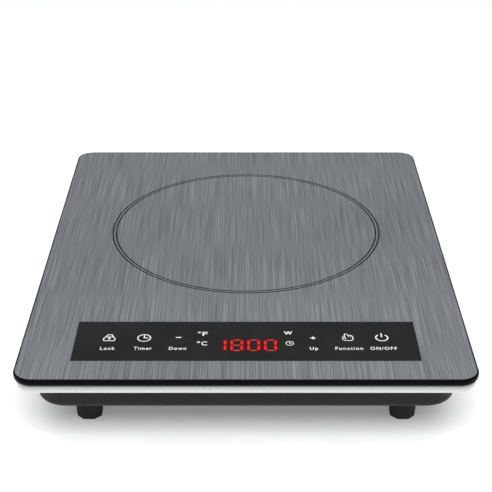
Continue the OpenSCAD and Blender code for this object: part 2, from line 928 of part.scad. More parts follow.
module fuse() {
    color([0.85, 0.85, 0.8]) on_pcb(fuse_at) {
        for (y = [-1, 1]) translate([0, y * clip_y, 0]) {
            box(clip_base);
            box(clip_blade);
        }
        translate([0, fuse_l / 2, fuse_z]) rotate([90, 0, 0]) cylinder(r = fuse_r, h = fuse_l);
    }
}

module varistor() {
    color([0.15, 0.3, 0.6]) on_pcb(varistor_at) {
        translate([-varistor_t / 2, 0, varistor_z]) rotate([0, 90, 0])
            cylinder(r = varistor_r, h = varistor_t);
        for (y = [-1, 1]) translate([0, y * varistor_leg_y, 0]) box(varistor_leg);
    }
}

// Flat chip with a row of legs on two sides
module chip(size, legs) {
    pitch = size.y / legs;
    translate([0, 0, chip_gap]) block(size.x, size.y, chip_t);
    for (i = [0 : legs - 1], side = [-1, 1])
        translate([side * size.x / 2, (i + 0.5) * pitch - size.y / 2, 0])
            block(chip_leg_l, pitch / 2, chip_leg_t);
}

module control_chips() {
    color([0.1, 0.1, 0.1]) {
        on_pcb(controller_at) chip(controller_size, controller_legs);
        on_pcb(driver_at) chip(driver_size, driver_legs);
    }
}

module buzzer() {
    color([0.08, 0.08, 0.08]) on_pcb(buzzer_at) difference() {
        cylinder(r = buzzer_r, h = buzzer_h);
        translate([0, 0, buzzer_h - buzzer_hole_depth])
            cylinder(r = buzzer_hole_r, h = buzzer_hole_depth + skin);
    }
}

module pcb_connectors() {
    color([0.93, 0.92, 0.86]) {
        on_pcb([ribbon_x, power_header_y]) block(header_w, header_d, header_h);
        on_pcb(fan_plug_at) block(header_d, header_d, header_h);
        on_pcb(thermistor_plug_at) block(header_d, header_d, header_h);
        translate([ribbon_x, control_header_y, control_top_z]) block(header_w, header_d, control_header_h);
    }
}

module mains_terminals() {
    color([0.8, 0.68, 0.35]) for (x = tab_x) on_pcb([x, tab_y]) {
        box(tab_base);
        box(tab_blade);
    }
}

// ---- fan ----

module fan_ring_outline() {
    difference() {
        rounded_rect(fan_size, fan_size, fan_corner_r);
        circle(duct_r, $fn = 96);
        for (x = [-1, 1], y = [-1, 1]) translate([x * fan_hole, y * fan_hole]) circle(fan_hole_r);
    }
}

module fan_frame() {
    color([0.1, 0.1, 0.105]) {
        at_fan(0) linear_extrude(fan_t) fan_ring_outline();
        at_fan(fan_t - seat_t) linear_extrude(seat_t) {
            circle(seat_r);
            for (a = [0 : spoke_step : 359]) rotate(a + spoke_turn) translate([0, -spoke_w / 2])
                square([duct_r + 1, spoke_w]);
        }
        at_fan(bearing_z) tube(tube_r, bearing_r, fan_t - bearing_z - seat_t + skin);
    }
}

module fan_screws() {
    color([0.6, 0.6, 0.62]) for (s = [-1, 1]) at_fan(fan_t) translate([s * fan_hole, s * fan_hole, 0])
        screw(small_screw_d, fan_t - fan_post_h + fan_screw_grip, screw_head_d, screw_head_h);
}

module fan_bearing() {
    color([0.78, 0.6, 0.35]) at_fan(bearing_z)
        tube(bearing_r, shaft_r + shaft_play, fan_t - bearing_z - seat_t);
}

module fan_stator() {
    color([0.55, 0.56, 0.58]) at_fan(stator_z) linear_extrude(stator_t) difference() {
        union() {
            circle(tube_r + stator_ring);
            for (i = [0 : pole_count - 1]) rotate(360 * i / pole_count + 45)
                translate([0, -pole_w / 2]) square([stator_r - 1, pole_w]);
            difference() {
                circle(stator_r);
                circle(stator_r - shoe_t);
                for (i = [0 : pole_count - 1]) rotate(360 * i / pole_count)
                    translate([0, -shoe_gap / 2]) square([stator_r + 1, shoe_gap]);
            }
        }
        circle(tube_r);
    }
}

module fan_windings() {
    inner = tube_r + stator_ring;
    outer = stator_r - shoe_t - winding_gap;
    h = stator_t + 2 * winding_rise;
    color([0.72, 0.36, 0.16]) at_fan(stator_z - winding_rise) for (i = [0 : pole_count - 1])
        rotate(360 * i / pole_count + 45) difference() {
            intersection() {
                translate([inner, -winding_w / 2, 0]) cube([outer - inner, winding_w, h]);
                translate([0, 0, -skin]) tube(outer, inner + winding_gap, h + 2 * skin);
            }
            translate([0, -pole_w / 2, winding_rise]) cube([stator_r, pole_w, stator_t]);
        }
}

module fan_lead() {
    plug = fan_plug_at;
    color([0.75, 0.12, 0.1]) for (side = [-1, 1]) wire([
        [fan_x - fan_size / 2 - 1.5, fan_y - 6, fan_z + fan_t - 2],
        [18, -84, fan_z + fan_t + 1], [plug.x, plug.y, 33], [plug.x, plug.y, pcb_top_z + header_h]
    ], signal_wire_r, [0.89, -0.46, 0], side * signal_wire_gap);
}

module fan_shaft() {
    color([0.8, 0.8, 0.82]) at_fan(shaft_z) cylinder(r = shaft_r, h = shaft_l);
}

module fan_blade() {
    tip_r = duct_r - tip_gap;
    rise = hub_z + hub_h / 2;
    intersection() {
        translate([0, 0, hub_z]) tube(tip_r, hub_r - 0.5, hub_h);
        translate([0, 0, rise]) rotate([blade_pitch, 0, 0])
            translate([0, -blade_chord / 2, -blade_t / 2]) cube([tip_r + 5, blade_chord, blade_t]);
    }
}

module fan_impeller() {
    color([0.17, 0.17, 0.18]) at_fan(0) difference() {
        union() {
            translate([0, 0, hub_z]) difference() {
                cylinder(r = hub_r, h = hub_h);
                translate([0, 0, hub_wall]) cylinder(r = hub_r - hub_wall, h = hub_h);
            }
            translate([0, 0, hub_z]) cylinder(r = tube_r - 1, h = bearing_z - hub_z - hub_core_gap);
            for (i = [0 : fan_blades - 1]) rotate(360 * i / fan_blades) fan_blade();
        }
        translate([0, 0, shaft_z]) cylinder(r = shaft_r, h = shaft_l);
    }
}

module fan_magnet() {
    color([0.3, 0.28, 0.27]) at_fan(magnet_z)
        tube(hub_r - hub_wall, hub_r - hub_wall - magnet_t, magnet_h);
}

// ---- controls ----

module control_bracket() {
    color([0.2, 0.2, 0.21]) difference() {
        union() {
            translate([0, panel_y, bracket_z]) plate(bracket_w, bracket_d, bracket_t, bracket_corner_r);
            at_control_holes(bracket_z) cylinder(r = bracket_post_r, h = control_z - bracket_z);
            at_legs(floor_top_z) cylinder(r = leg_r, h = bracket_z - floor_top_z + skin);
        }
        at_legs(floor_top_z - skin) cylinder(r = peg_r + peg_play, h = peg_h + 1);
        at_control_holes(bracket_z - skin)
            cylinder(d = small_pilot_d, h = control_z - bracket_z + 2 * skin);
    }
}

module control_pcb() {
    color([0.1, 0.35, 0.2]) difference() {
        translate([0, panel_y, control_z]) block(control_w, control_d, control_t);
        at_control_holes(control_z - skin) cylinder(d = screw_hole_d, h = control_t + 2 * skin);
    }
}

module control_screws() {
    color([0.6, 0.6, 0.62]) at_control_holes(control_top_z)
        screw(small_screw_d, control_top_z - bracket_z - control_screw_end,
            control_screw_head_d, control_screw_head_h);
}

module led_display() {
    color([0.1, 0.1, 0.1]) translate([display_x, display_y, control_top_z])
        block(display_w, display_d, display_h);
}

// Each spring is drawn as the sleeve that its turns fill
module touch_springs() {
    color([0.8, 0.8, 0.78]) at_keys(control_top_z)
        tube(key_spring_r + key_wire_r, key_spring_r - key_wire_r, glass_z - control_top_z);
}

module indicator_leds() {
    color([0.95, 0.9, 0.85]) for (p = indicators) translate([p.x, p.y, control_top_z]) {
        cylinder(r = indicator_r, h = indicator_h);
        translate([0, 0, indicator_h]) cylinder(r1 = indicator_r, r2 = indicator_r / 2, h = indicator_dome_h);
    }
}

module ribbon_cable() {
    back_y = control_header_y + header_d / 2;
    bend_y = back_y + ribbon_flat;
    top_z = control_top_z + control_header_h / 2;
    plug_z = pcb_top_z + header_h;
    fall = ribbon_t / 2; // keeps the ribbon's thickness round the bends
    color([0.85, 0.85, 0.83]) translate([ribbon_x - ribbon_w / 2, 0, 0])
        rotate([90, 0, 90]) linear_extrude(ribbon_w) polygon([
            [back_y, top_z], [bend_y, top_z],
            [power_header_y + ribbon_t, top_z - ribbon_drop], [power_header_y + ribbon_t, plug_z],
            [power_header_y, plug_z], [power_header_y, top_z - ribbon_drop - fall],
            [bend_y - fall, top_z - ribbon_t], [back_y, top_z - ribbon_t]
        ]);
}

glass_plate();
glass_gasket();
top_frame();
base_housing();
foot_front_left();
foot_front_right();
foot_rear_left();
foot_rear_right();
housing_screws();
cord_grommet();
coil_former();
coil_winding();
ferrite_bars();
mica_sheet();
coil_pads();
coil_screws();
thermistor_holder();
coil_thermistor();
thermistor_lead();
coil_leads();
coil_terminals();
power_pcb();
pcb_screws();
heatsink();
heatsink_screws();
igbt();
bridge_rectifier();
resonant_capacitor();
dc_link_capacitor();
emi_capacitor();
common_mode_choke();
bus_inductor();
flyback_transformer();
electrolytic_capacitors();
fuse();
varistor();
control_chips();
buzzer();
pcb_connectors();
mains_terminals();
fan_frame();
fan_screws();
fan_bearing();
fan_stator();
fan_windings();
fan_lead();
fan_shaft();
fan_impeller();
fan_magnet();
control_bracket();
control_pcb();
control_screws();
led_display();
touch_springs();
indicator_leds();
ribbon_cable();
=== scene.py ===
"""Looks of a portable induction cooktop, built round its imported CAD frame.

Lengths are metres; the front, with the touch panel, is -Y and up is +Z. What is printed on the glass is laid
out in millimetres from the middle of the plate, and MM turns those into metres.
"""

import json
import math

import bmesh
import bpy
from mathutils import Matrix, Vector
from mathutils.geometry import delaunay_2d_cdt


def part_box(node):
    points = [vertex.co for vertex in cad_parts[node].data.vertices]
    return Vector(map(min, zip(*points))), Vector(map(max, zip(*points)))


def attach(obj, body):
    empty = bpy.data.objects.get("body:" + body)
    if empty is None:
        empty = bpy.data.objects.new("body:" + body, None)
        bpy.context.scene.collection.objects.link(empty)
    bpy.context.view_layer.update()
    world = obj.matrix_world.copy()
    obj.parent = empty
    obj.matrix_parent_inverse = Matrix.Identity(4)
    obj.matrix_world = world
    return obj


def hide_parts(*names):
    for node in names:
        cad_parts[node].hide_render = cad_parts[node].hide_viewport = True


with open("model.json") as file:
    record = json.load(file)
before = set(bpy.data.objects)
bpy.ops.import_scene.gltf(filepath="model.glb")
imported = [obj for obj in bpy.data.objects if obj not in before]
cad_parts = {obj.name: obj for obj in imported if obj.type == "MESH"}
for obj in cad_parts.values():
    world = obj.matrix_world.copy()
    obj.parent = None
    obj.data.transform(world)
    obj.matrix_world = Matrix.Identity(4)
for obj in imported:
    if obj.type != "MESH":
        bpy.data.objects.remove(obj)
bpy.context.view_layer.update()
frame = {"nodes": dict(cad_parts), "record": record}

MM = 0.001

# ---- places and sizes in metres, from the frame where it has them ----

GLASS_LOW, GLASS_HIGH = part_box("glass_plate")
FRAME_LOW, FRAME_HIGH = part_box("top_frame")
HOUSING_LOW, HOUSING_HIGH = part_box("base_housing")
WINDING_LOW, WINDING_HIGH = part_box("coil_winding")
SPRINGS_LOW, SPRINGS_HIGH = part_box("touch_springs")
GLASS_CORNER = 12.5 * MM
GLASS_TOP = GLASS_HIGH.z
INK = 0.02 * MM  # thickness of what is printed on the glass
BAND_HEIGHT = 5.3 * MM  # of the white band that shows under the glass
HOUSING_CORNER = 19 * MM
BOSS_X = 0.123
BOSS_Y = (-0.14, 0.0, 0.14)
FIRST_SPRING_X = 43.3 * MM

# ---- the printed design, in millimetres from the middle of the plate ----

PANEL = (-110.0, -157.0, 110.0, -109.0)
ZONE_CENTRE = (0.0, 30.0)
ZONE_LINES = (97.9, 100.4)
ZONE_LINE_WIDTH = 1.15
DECOR_INSET = 1.3
KEY_ICON_Y = -129.5
KEY_WORD_Y = -142.1
WORD_CAP = 3.4
WORD_SPACING = 1.22
WORD_WEIGHT = 0.014  # how far each stroke is thickened, at size 1
LINE = 0.7
DEGREE_AT = (-2.6, 1.6)
DEGREE_RADIUS = 0.75
DEGREE_LINE = 0.55
SIGN_CAP = 4.5
SIGN_WEIGHT = 0.012
SIGN_SHIFT = 1.1  # of the letter, to make room for the degree sign before it
WATTS_AT = (27.3, -123.3)
MINUTES_AT = (28.0, -136.0)
FONT_CAP = 0.69  # height of a capital in Blender's own font, at size 1

# the display, whose digits are written with seven segments
DISPLAY_NUMBER = "1800"
DIGIT_FIRST_X = -16.65
DIGIT_PITCH = 10.76
DIGIT_Y = -138.3
DIGIT_HALF = (3.25, 6.3)  # from a digit's middle to the middles of its outer segments
UPRIGHT_WIDTH = 1.75
BAR_WIDTH = 1.0
GLOW_REACH = 0.95  # how far the dim edge of a lit segment reaches past it
SEGMENTS = {"1": "bc", "8": "abcdefg", "0": "abcdef"}  # clockwise from a at the top, with g across the middle

# ---- the view: metres and degrees ----

CAMERA_AT = (0.0, -0.8097, 0.4674)
CAMERA_TILT = 62.853  # up from straight down
CAMERA_LENS = 90.24  # millimetres, on a 36 mm sensor
FLOOR_REACH = 6.0  # from the middle to each side
SKY_STRENGTH = 1.1


# ---- outlines in millimetres ----


def arc(centre, radius, start, end, steps=24):
    """Points from one angle to another, in degrees."""
    angles = [math.radians(start + (end - start) * i / steps) for i in range(steps + 1)]
    return [(centre[0] + radius * math.cos(a), centre[1] + radius * math.sin(a)) for a in angles]


def disc(centre, radius, steps=24):
    """A full round of points, the last one short of the first."""
    return arc(centre, radius, 0, 360 * (steps - 1) / steps, steps - 1)


def box_outline(x0, y0, x1, y1):
    return [(x0, y0), (x1, y0), (x1, y1), (x0, y1)]


def bar(a, b, width):
    """Rectangle along the line from a to b."""
    along = Vector(b) - Vector(a)
    across = Vector((-along.y, along.x)).normalized() * width / 2
    corners = (Vector(a) - across, Vector(b) - across, Vector(b) + across, Vector(a) + across)
    return [tuple(c) for c in corners]


def stroke(points, width=LINE, closed=False):
    """Outlines that together make a line of that width with round ends and bends."""
    ends = points[1:] + (points[:1] if closed else [])
    bars = [bar(a, b, width) for a, b in zip(points, ends)]
    return bars + [disc(p, width / 2, 12) for p in points]


def moved(outlines, x, y):
    return [[(px + x, py + y) for px, py in outline] for outline in outlines]


def lettering(words, x, y, cap, width, weight=0.0, spacing=1.0):
    """Points and faces of words centred on x, y, with capitals cap tall, set to a width."""
    curve = bpy.data.curves.new("lettering", "FONT")
    curve.body = words
    curve.offset = weight
    curve.space_character = spacing
    curve.resolution_u = 5
    holder = bpy.data.objects.new("lettering", curve)
    mesh = bpy.data.meshes.new_from_object(holder)
    flat = bmesh.new()
    flat.from_mesh(mesh)
    bmesh.ops.remove_doubles(flat, verts=flat.verts, dist=1e-5)
    bmesh.ops.dissolve_degenerate(flat, edges=flat.edges, dist=1e-5)
    flat.verts.index_update()
    points = [v.co.xy.copy() for v in flat.verts]
    faces = [[v.index for v in (f.verts if f.normal.z > 0 else reversed(f.verts))] for f in flat.faces]
    flat.free()
    bpy.data.objects.remove(holder)
    bpy.data.meshes.remove(mesh)
    bpy.data.curves.remove(curve)
    left, right = min(p.x for p in points), max(p.x for p in points)
    grow_x, grow_y = width / (right - left), cap / FONT_CAP
    middle = (left + right) / 2
    return [Vector((x + (p.x - middle) * grow_x, y + (p.y - FONT_CAP / 2) * grow_y)) for p in points], faces


def anticlockwise(outline):
    area = sum(a[0] * b[1] - b[0] * a[1] for a, b in zip(outline, outline[1:] + outline[:1]))
    return outline if area > 0 else outline[::-1]


def flat_area(outlines, holes=()):
    """Points and triangles of what is inside any of the outlines and inside none of the holes."""
    points, faces = [], []
    for outline in [*outlines, *holes]:
        faces.append(list(range(len(points), len(points) + len(outline))))
        points += [Vector(p) for p in anticlockwise(list(outline))]
    verts, _, triangles, _, _, origins = delaunay_2d_cdt(points, [], faces, 1, 1e-5)
    first_hole = len(outlines)
    kept = [t for t, of in zip(triangles, origins) if of and max(of) < first_hole]
    return verts, kept


# ---- solids ----


def add_layer(bm, points, faces, low=GLASS_TOP, thickness=INK):
    """A flat closed layer, from points in millimetres and the faces between them."""
    used = sorted({i for face in faces for i in face})
    bottom = {i: bm.verts.new((points[i].x * MM, points[i].y * MM, low)) for i in used}
    top = {i: bm.verts.new((points[i].x * MM, points[i].y * MM, low + thickness)) for i in used}
    edges = {(a, b) for face in faces for a, b in zip(face, face[1:] + face[:1])}
    for face in faces:
        bm.faces.new([top[i] for i in face])
        bm.faces.new([bottom[i] for i in reversed(face)])
    for a, b in edges:
        if (b, a) not in edges:
            bm.faces.new([bottom[a], bottom[b], top[b], top[a]])


def add_print(bm, outlines, holes=(), thickness=INK):
    """A flat closed layer, from outlines in millimetres."""
    add_layer(bm, *flat_area(outlines, holes), thickness=thickness)


def rounded_ring(width, depth, radius, z, steps=16):
    """Points round a rounded rectangle, anticlockwise."""
    points = []
    for quarter, (sx, sy) in enumerate(((1, -1), (1, 1), (-1, 1), (-1, -1))):
        middle = (sx * (width / 2 - radius), sy * (depth / 2 - radius))
        points += [(x, y, z) for x, y in arc(middle, radius, 90 * (quarter - 1), 90 * quarter, steps)]
    return points


def loft(bm, rings, closed=False):
    """Walls from ring to ring, with the ends capped unless the last ring meets the first."""
    rows = [[bm.verts.new(p) for p in ring] for ring in rings]
    count = len(rows[0])
    following = rows[1:] + (rows[:1] if closed else [])
    for a, b in zip(rows, following):
        for i in range(count):
            j = (i + 1) % count
            bm.faces.new((a[i], a[j], b[j], b[i]))
    if not closed:
        bm.faces.new(rows[0][::-1])
        bm.faces.new(rows[-1])


def add_block(bm, low, high):
    corners = box_outline(low[0], low[1], high[0], high[1])
    loft(bm, [[(x, y, z) for x, y in corners] for z in (low[2], high[2])])


def tube(bm, path, radius, sides=10):
    """Round wire along a path of points, with flat ends."""
    rings = []
    for i, point in enumerate(path):
        along = (path[min(i + 1, len(path) - 1)] - path[max(i - 1, 0)]).normalized()
        across = along.cross(Vector((0, 0, 1))).normalized()
        over = across.cross(along)
        angles = [2 * math.pi * k / sides for k in range(sides)]
        rings.append([point + radius * (math.cos(a) * across + math.sin(a) * over) for a in angles])
    loft(bm, rings)


def finish_piece(name, bm, material, body="base", replaces=(), smooth=35):
    """Turns the built mesh into a piece that rides on a body."""
    bmesh.ops.recalc_face_normals(bm, faces=bm.faces)
    mesh = bpy.data.meshes.new(name)
    bm.to_mesh(mesh)
    bm.free()
    mesh.shade_smooth()
    mesh.set_sharp_from_angle(angle=math.radians(smooth))
    mesh.materials.append(material)
    piece = bpy.data.objects.new(name, mesh)
    bpy.context.scene.collection.objects.link(piece)
    weights = piece.modifiers.new("weighted_normals", "WEIGHTED_NORMAL")
    weights.keep_sharp = True
    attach(piece, body)
    if replaces:
        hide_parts(*replaces)
    return piece


# ---- materials ----


def tone(code):
    """Linear colour from a screen colour such as #2c2c2c."""
    parts = [int(code[i : i + 2], 16) / 255 for i in (1, 3, 5)]
    return [p / 12.92 if p <= 0.04045 else ((p + 0.055) / 1.055) ** 2.4 for p in parts] + [1.0]


class Surface:
    """A Principled material, with the few node patterns that the finishes here share."""

    def __init__(self, name, roughness=0.5, metallic=0.0, coat=0.0, coat_roughness=0.03, coat_ior=1.5):
        self.material = bpy.data.materials.new(name)
        self.material.use_nodes = True
        self.tree = self.material.node_tree
        self.shader = self.tree.nodes["Principled BSDF"]
        self.put("Roughness", roughness)
        self.put("Metallic", metallic)
        self.put("Coat Weight", coat)
        self.put("Coat Roughness", coat_roughness)
        self.put("Coat IOR", coat_ior)
        self.place = self.node("ShaderNodeTexCoord").outputs["Object"]

    def put(self, socket, value):
        """One value for the whole surface."""
        self.shader.inputs[socket].default_value = value

    def node(self, kind, **settings):
        made = self.tree.nodes.new(kind)
        for name, value in settings.items():
            setattr(made, name, value)
        return made

    def link(self, source, target):
        self.tree.links.new(source, target)

    def to(self, socket, source):
        """A value that varies over the surface."""
        self.link(source, self.shader.inputs[socket])

    def stretched(self, scale, turn=(0, 0, 0)):
        """Object coordinates stretched by scale, which makes a pattern finer along its larger numbers."""
        mapping = self.node("ShaderNodeMapping")
        mapping.inputs["Scale"].default_value = scale
        mapping.inputs["Rotation"].default_value = turn
        self.link(self.place, mapping.inputs["Vector"])
        return mapping.outputs["Vector"]

    def noise(self, scale, detail=4.0, stretch=None, rough=0.6):
        made = self.node("ShaderNodeTexNoise")
        made.inputs["Scale"].default_value = scale
        made.inputs["Detail"].default_value = detail
        made.inputs["Roughness"].default_value = rough
        self.link(self.stretched(stretch) if stretch else self.place, made.inputs["Vector"])
        return made.outputs["Fac"]

    def cells(self, scale, feature="F1", output="Distance", metric="EUCLIDEAN", scatter=1.0, flat=False):
        """Cells round scattered points; flat ones keep their outline through the thickness of a sheet."""
        made = self.node("ShaderNodeTexVoronoi", feature=feature, voronoi_dimensions="2D" if flat else "3D")
        if feature != "DISTANCE_TO_EDGE":
            made.distance = metric
        made.inputs["Scale"].default_value = scale
        made.inputs["Randomness"].default_value = scatter
        self.link(self.place, made.inputs["Vector"])
        return made.outputs[output]

    def gaps(self, scale, width):
        """1 on the straight, square-cornered gaps between flat cells, and 0 inside the cells."""
        nearest = self.cells(scale, metric="CHEBYCHEV", flat=True)
        second = self.cells(scale, feature="F2", metric="CHEBYCHEV", flat=True)
        return self.spread(self.maths("SUBTRACT", second, nearest), 1.0, 0.0, width * 0.7, width)

    def ramp(self, source, stops):
        """Colours at places from 0 to 1."""
        made = self.node("ShaderNodeValToRGB")
        band = made.color_ramp.elements
        band[0].position, band[0].color = stops[0][0], tone(stops[0][1])
        band[1].position, band[1].color = stops[-1][0], tone(stops[-1][1])
        for place, colour in stops[1:-1]:
            band.new(place).color = tone(colour)
        self.link(source, made.inputs["Fac"])
        return made.outputs["Color"]

    def spread(self, source, low, high, start=0.3, end=0.7):
        """Maps start..end of a pattern on to low..high."""
        made = self.node("ShaderNodeMapRange")
        for socket, value in zip(("From Min", "From Max", "To Min", "To Max"), (start, end, low, high)):
            made.inputs[socket].default_value = value
        self.link(source, made.inputs["Value"])
        return made.outputs["Result"]

    def maths(self, operation, a, b=0.0):
        made = self.node("ShaderNodeMath", operation=operation)
        for socket, value in zip(made.inputs, (a, b)):
            if isinstance(value, (int, float)):
                socket.default_value = value
            else:
                self.link(value, socket)
        return made.outputs["Value"]

    def inverse(self, pattern):
        return self.maths("SUBTRACT", 1.0, pattern)

    def blend(self, *parts):
        """Sum of patterns, each with its share."""
        shares = [self.maths("MULTIPLY", pattern, share) for pattern, share in parts]
        total = shares[0]
        for share in shares[1:]:
            total = self.maths("ADD", total, share)
        return total

    def mix(self, factor, a, b, blend="MIX"):
        made = self.node("ShaderNodeMix", data_type="RGBA", blend_type=blend)
        factor_in, a_in, b_in = made.inputs[0], made.inputs[6], made.inputs[7]
        for socket, value in ((factor_in, factor), (a_in, a), (b_in, b)):
            if isinstance(value, (int, float, list, tuple)):
                socket.default_value = value
            else:
                self.link(value, socket)
        return made.outputs[2]

    def bump(self, height, distance, strength=1.0):
        made = self.node("ShaderNodeBump")
        made.inputs["Distance"].default_value = distance
        made.inputs["Strength"].default_value = strength
        self.link(height, made.inputs["Height"])
        self.to("Normal", made.outputs["Normal"])

    def axis(self, letter):
        """One coordinate in metres."""
        split = self.node("ShaderNodeSeparateXYZ")
        self.link(self.place, split.inputs["Vector"])
        return split.outputs[letter]


def grained(name, dark, light, grain=900.0, rough=(0.45, 0.6), bump=0.02, metallic=0.0, coat=0.0,
            stretch=None, ior=1.5):
    """Colour, roughness and relief that vary together with a fine grain, over a broad soft mottle."""
    surface = Surface(name, metallic=metallic, coat=coat)
    surface.put("IOR", ior)
    fine = surface.noise(grain, stretch=stretch)
    broad = surface.noise(45.0, detail=3.0)
    both = surface.blend((fine, 0.6), (broad, 0.4))
    surface.to("Base Color", surface.ramp(both, [(0.35, dark), (0.65, light)]))
    surface.to("Roughness", surface.spread(both, *rough))
    surface.bump(fine, bump * MM)
    return surface.material


def white_moulding():
    """White gloss plastic, a little deeper in tone where it meets the seal under the glass: painted shade,
    standing in for the shadow of the glass overhang.
    """
    shade_reach = 5 * MM
    surface = Surface("white_gloss", coat=0.3)
    height = surface.spread(surface.axis("Z"), 0.0, 1.0, FRAME_HIGH.z - shade_reach, FRAME_HIGH.z)
    # painted shade: the colour darkens towards the top of the band, where the glass overhangs it
    painted_shade_tone = surface.ramp(height, [(0.0, "#dadbdb"), (0.45, "#bfc0c0"), (0.75, "#a2a2a2"), (1.0, "#8c8c8c")])
    speck = surface.ramp(surface.noise(350.0), [(0.3, "#f6f6f6"), (0.7, "#ffffff")])
    surface.to("Base Color", surface.mix(1.0, painted_shade_tone, speck, "MULTIPLY"))
    surface.to("Roughness", surface.spread(surface.noise(60.0), 0.2, 0.3))
    surface.bump(surface.noise(350.0), 0.004 * MM)
    return surface.material


def black_glass(name, dark, light, ior):
    """Polished glass over black ink, with faint smears."""
    surface = Surface(name)
    surface.put("IOR", ior)
    smear = surface.noise(28.0, detail=5.0)
    surface.to("Base Color", surface.ramp(smear, [(0.3, dark), (0.7, light)]))
    surface.to("Roughness", surface.spread(smear, 0.03, 0.07))
    return surface.material


def brushed_decor():
    """Grey brushed pattern under clear gloss, with its lines running front to back."""
    surface = Surface("brushed_decor", roughness=0.42, metallic=0.25, coat=1.0, coat_ior=1.3)
    hair = surface.noise(1.0, detail=2.0, stretch=(1600, 14, 1), rough=0.6)
    lines = surface.noise(1.0, detail=2.0, stretch=(850, 8, 1), rough=0.6)
    bands = surface.noise(1.0, detail=2.0, stretch=(60, 0.8, 1))
    broad = surface.noise(6.0, detail=2.0)
    total = surface.blend((hair, 0.72), (lines, 0.14), (bands, 0.03), (broad, 0.11))
    stops = [(0.36, "#595c61"), (0.47, "#6e7176"), (0.53, "#797d81"), (0.64, "#919599")]
    surface.to("Base Color", surface.ramp(total, stops))
    surface.to("Roughness", surface.spread(total, 0.5, 0.36, 0.4, 0.6))
    surface.bump(hair, 0.004 * MM, 0.25)
    return surface.material


def panel_ink():
    """White screen-printed ink."""
    surface = Surface("panel_ink", roughness=0.4)
    tooth = surface.noise(2500.0)
    surface.to("Base Color", surface.ramp(tooth, [(0.3, "#e2e4e4"), (0.7, "#f6f7f7")]))
    return surface.material


def lit_segments(name, dark, light):
    """Light-emitting segments under dark glass: all their colour is their own light."""
    surface = Surface(name, roughness=0.5)
    mottle = surface.noise(900.0, detail=2.0)
    surface.put("IOR", 1.15)
    surface.to("Base Color", surface.ramp(mottle, [(0.3, "#0a0303"), (0.7, "#120505")]))
    surface.to("Emission Color", surface.ramp(mottle, [(0.35, dark), (0.65, light)]))
    surface.put("Emission Strength", 1.0)
    return surface.material


def copper_litz():
    """Enamelled copper in fine twisted strands that run round the middle of the coil."""
    strands_round, strands_up = 620.0, 2600.0  # in a full turn, and in a metre of height
    surface = Surface("copper", metallic=0.85)
    centre_y = (WINDING_LOW.y + WINDING_HIGH.y) / 2
    mapping = surface.node("ShaderNodeMapping")
    mapping.inputs["Location"].default_value = (0, -centre_y, 0)
    surface.link(surface.place, mapping.inputs["Vector"])
    turn = surface.node("ShaderNodeTexGradient", gradient_type="RADIAL")
    surface.link(mapping.outputs["Vector"], turn.inputs["Vector"])
    height = surface.maths("MULTIPLY", surface.axis("Z"), strands_up)
    angle = surface.maths("MULTIPLY", turn.outputs["Fac"], strands_round)
    strands = surface.maths("SINE", surface.maths("ADD", angle, height))
    tint = surface.ramp(surface.noise(120.0), [(0.3, "#9a4f24"), (0.7, "#c97a3e")])
    # painted sheen: the colour runs from dark to bright across each strand, as painted light and shade on
    # round strands
    painted_sheen = surface.ramp(strands, [(0.0, "#5e2c12"), (1.0, "#d08a4c")])
    surface.to("Base Color", surface.mix(0.35, tint, painted_sheen))
    surface.to("Roughness", surface.spread(strands, 0.45, 0.25, -1, 1))
    surface.bump(strands, 0.06 * MM)
    return surface.material


def circuit_board(name, mask_dark, mask_light, copper, tin):
    """Lacquer over copper areas parted by narrow gaps, with finer tracks and tinned pads in places."""
    surface = Surface(name, roughness=0.35, coat=0.4)
    lacquer = surface.ramp(surface.noise(90.0), [(0.3, mask_dark), (0.7, mask_light)])
    areas = surface.inverse(surface.gaps(85.0, 0.09))
    tracks = surface.gaps(230.0, 0.16)
    pads = surface.spread(surface.cells(390.0, scatter=0.0, flat=True), 1.0, 0.0, 0.22, 0.27)
    with_tracks = surface.spread(surface.noise(55.0, detail=1.0), 0.0, 1.0, 0.5, 0.52)
    with_pads = surface.spread(surface.noise(38.0, detail=1.0), 0.0, 1.0, 0.56, 0.57)
    on_track = surface.maths("MULTIPLY", with_tracks, tracks)
    on_area = surface.maths("MULTIPLY", surface.inverse(with_tracks), areas)
    on_copper = surface.maths("ADD", on_track, on_area)
    on_pad = surface.maths("MULTIPLY", pads, with_pads)
    board = surface.mix(on_copper, lacquer, tone(copper))
    surface.to("Base Color", surface.mix(on_pad, board, tone(tin)))
    surface.to("Metallic", surface.maths("MULTIPLY", on_pad, 0.8))
    surface.to("Roughness", surface.spread(on_copper, 0.4, 0.3, 0, 1))
    surface.bump(surface.maths("ADD", on_copper, on_pad), 0.03 * MM)
    return surface.material


def mica():
    """Pressed mica flakes: faint, uneven patches with a silky shine that changes from flake to flake."""
    surface = Surface("mica", roughness=0.35, metallic=0.15)
    flakes = surface.maths("ADD", surface.cells(210.0, output="Color"), surface.cells(420.0, output="Color"))
    cloud = surface.noise(70.0, detail=6.0, rough=0.7)
    total = surface.blend((flakes, 0.25), (cloud, 0.5))
    surface.to("Base Color", surface.ramp(total, [(0.35, "#a8946f"), (0.5, "#b7a47d"), (0.65, "#c6b58f")]))
    surface.to("Roughness", surface.spread(flakes, 0.24, 0.46, 0.3, 1.6))
    surface.bump(flakes, 0.008 * MM)
    return surface.material


def banded(name, axis, edges, middle, ends, rough=0.3, metallic=0.0):
    """One colour between two places on an axis, in metres, and another outside them."""
    surface = Surface(name, metallic=metallic, coat=0.3)
    along = surface.axis(axis)
    after = surface.maths("GREATER_THAN", along, edges[0])
    before = surface.maths("LESS_THAN", along, edges[1])
    inside = surface.maths("MULTIPLY", after, before)
    scratch = surface.noise(700.0)
    centre = surface.ramp(scratch, [(0.3, middle[0]), (0.7, middle[1])])
    outer = surface.ramp(scratch, [(0.3, ends[0]), (0.7, ends[1])])
    surface.to("Base Color", surface.mix(inside, outer, centre))
    surface.to("Roughness", surface.spread(scratch, rough, rough + 0.15))
    surface.bump(scratch, 0.01 * MM)
    return surface.material


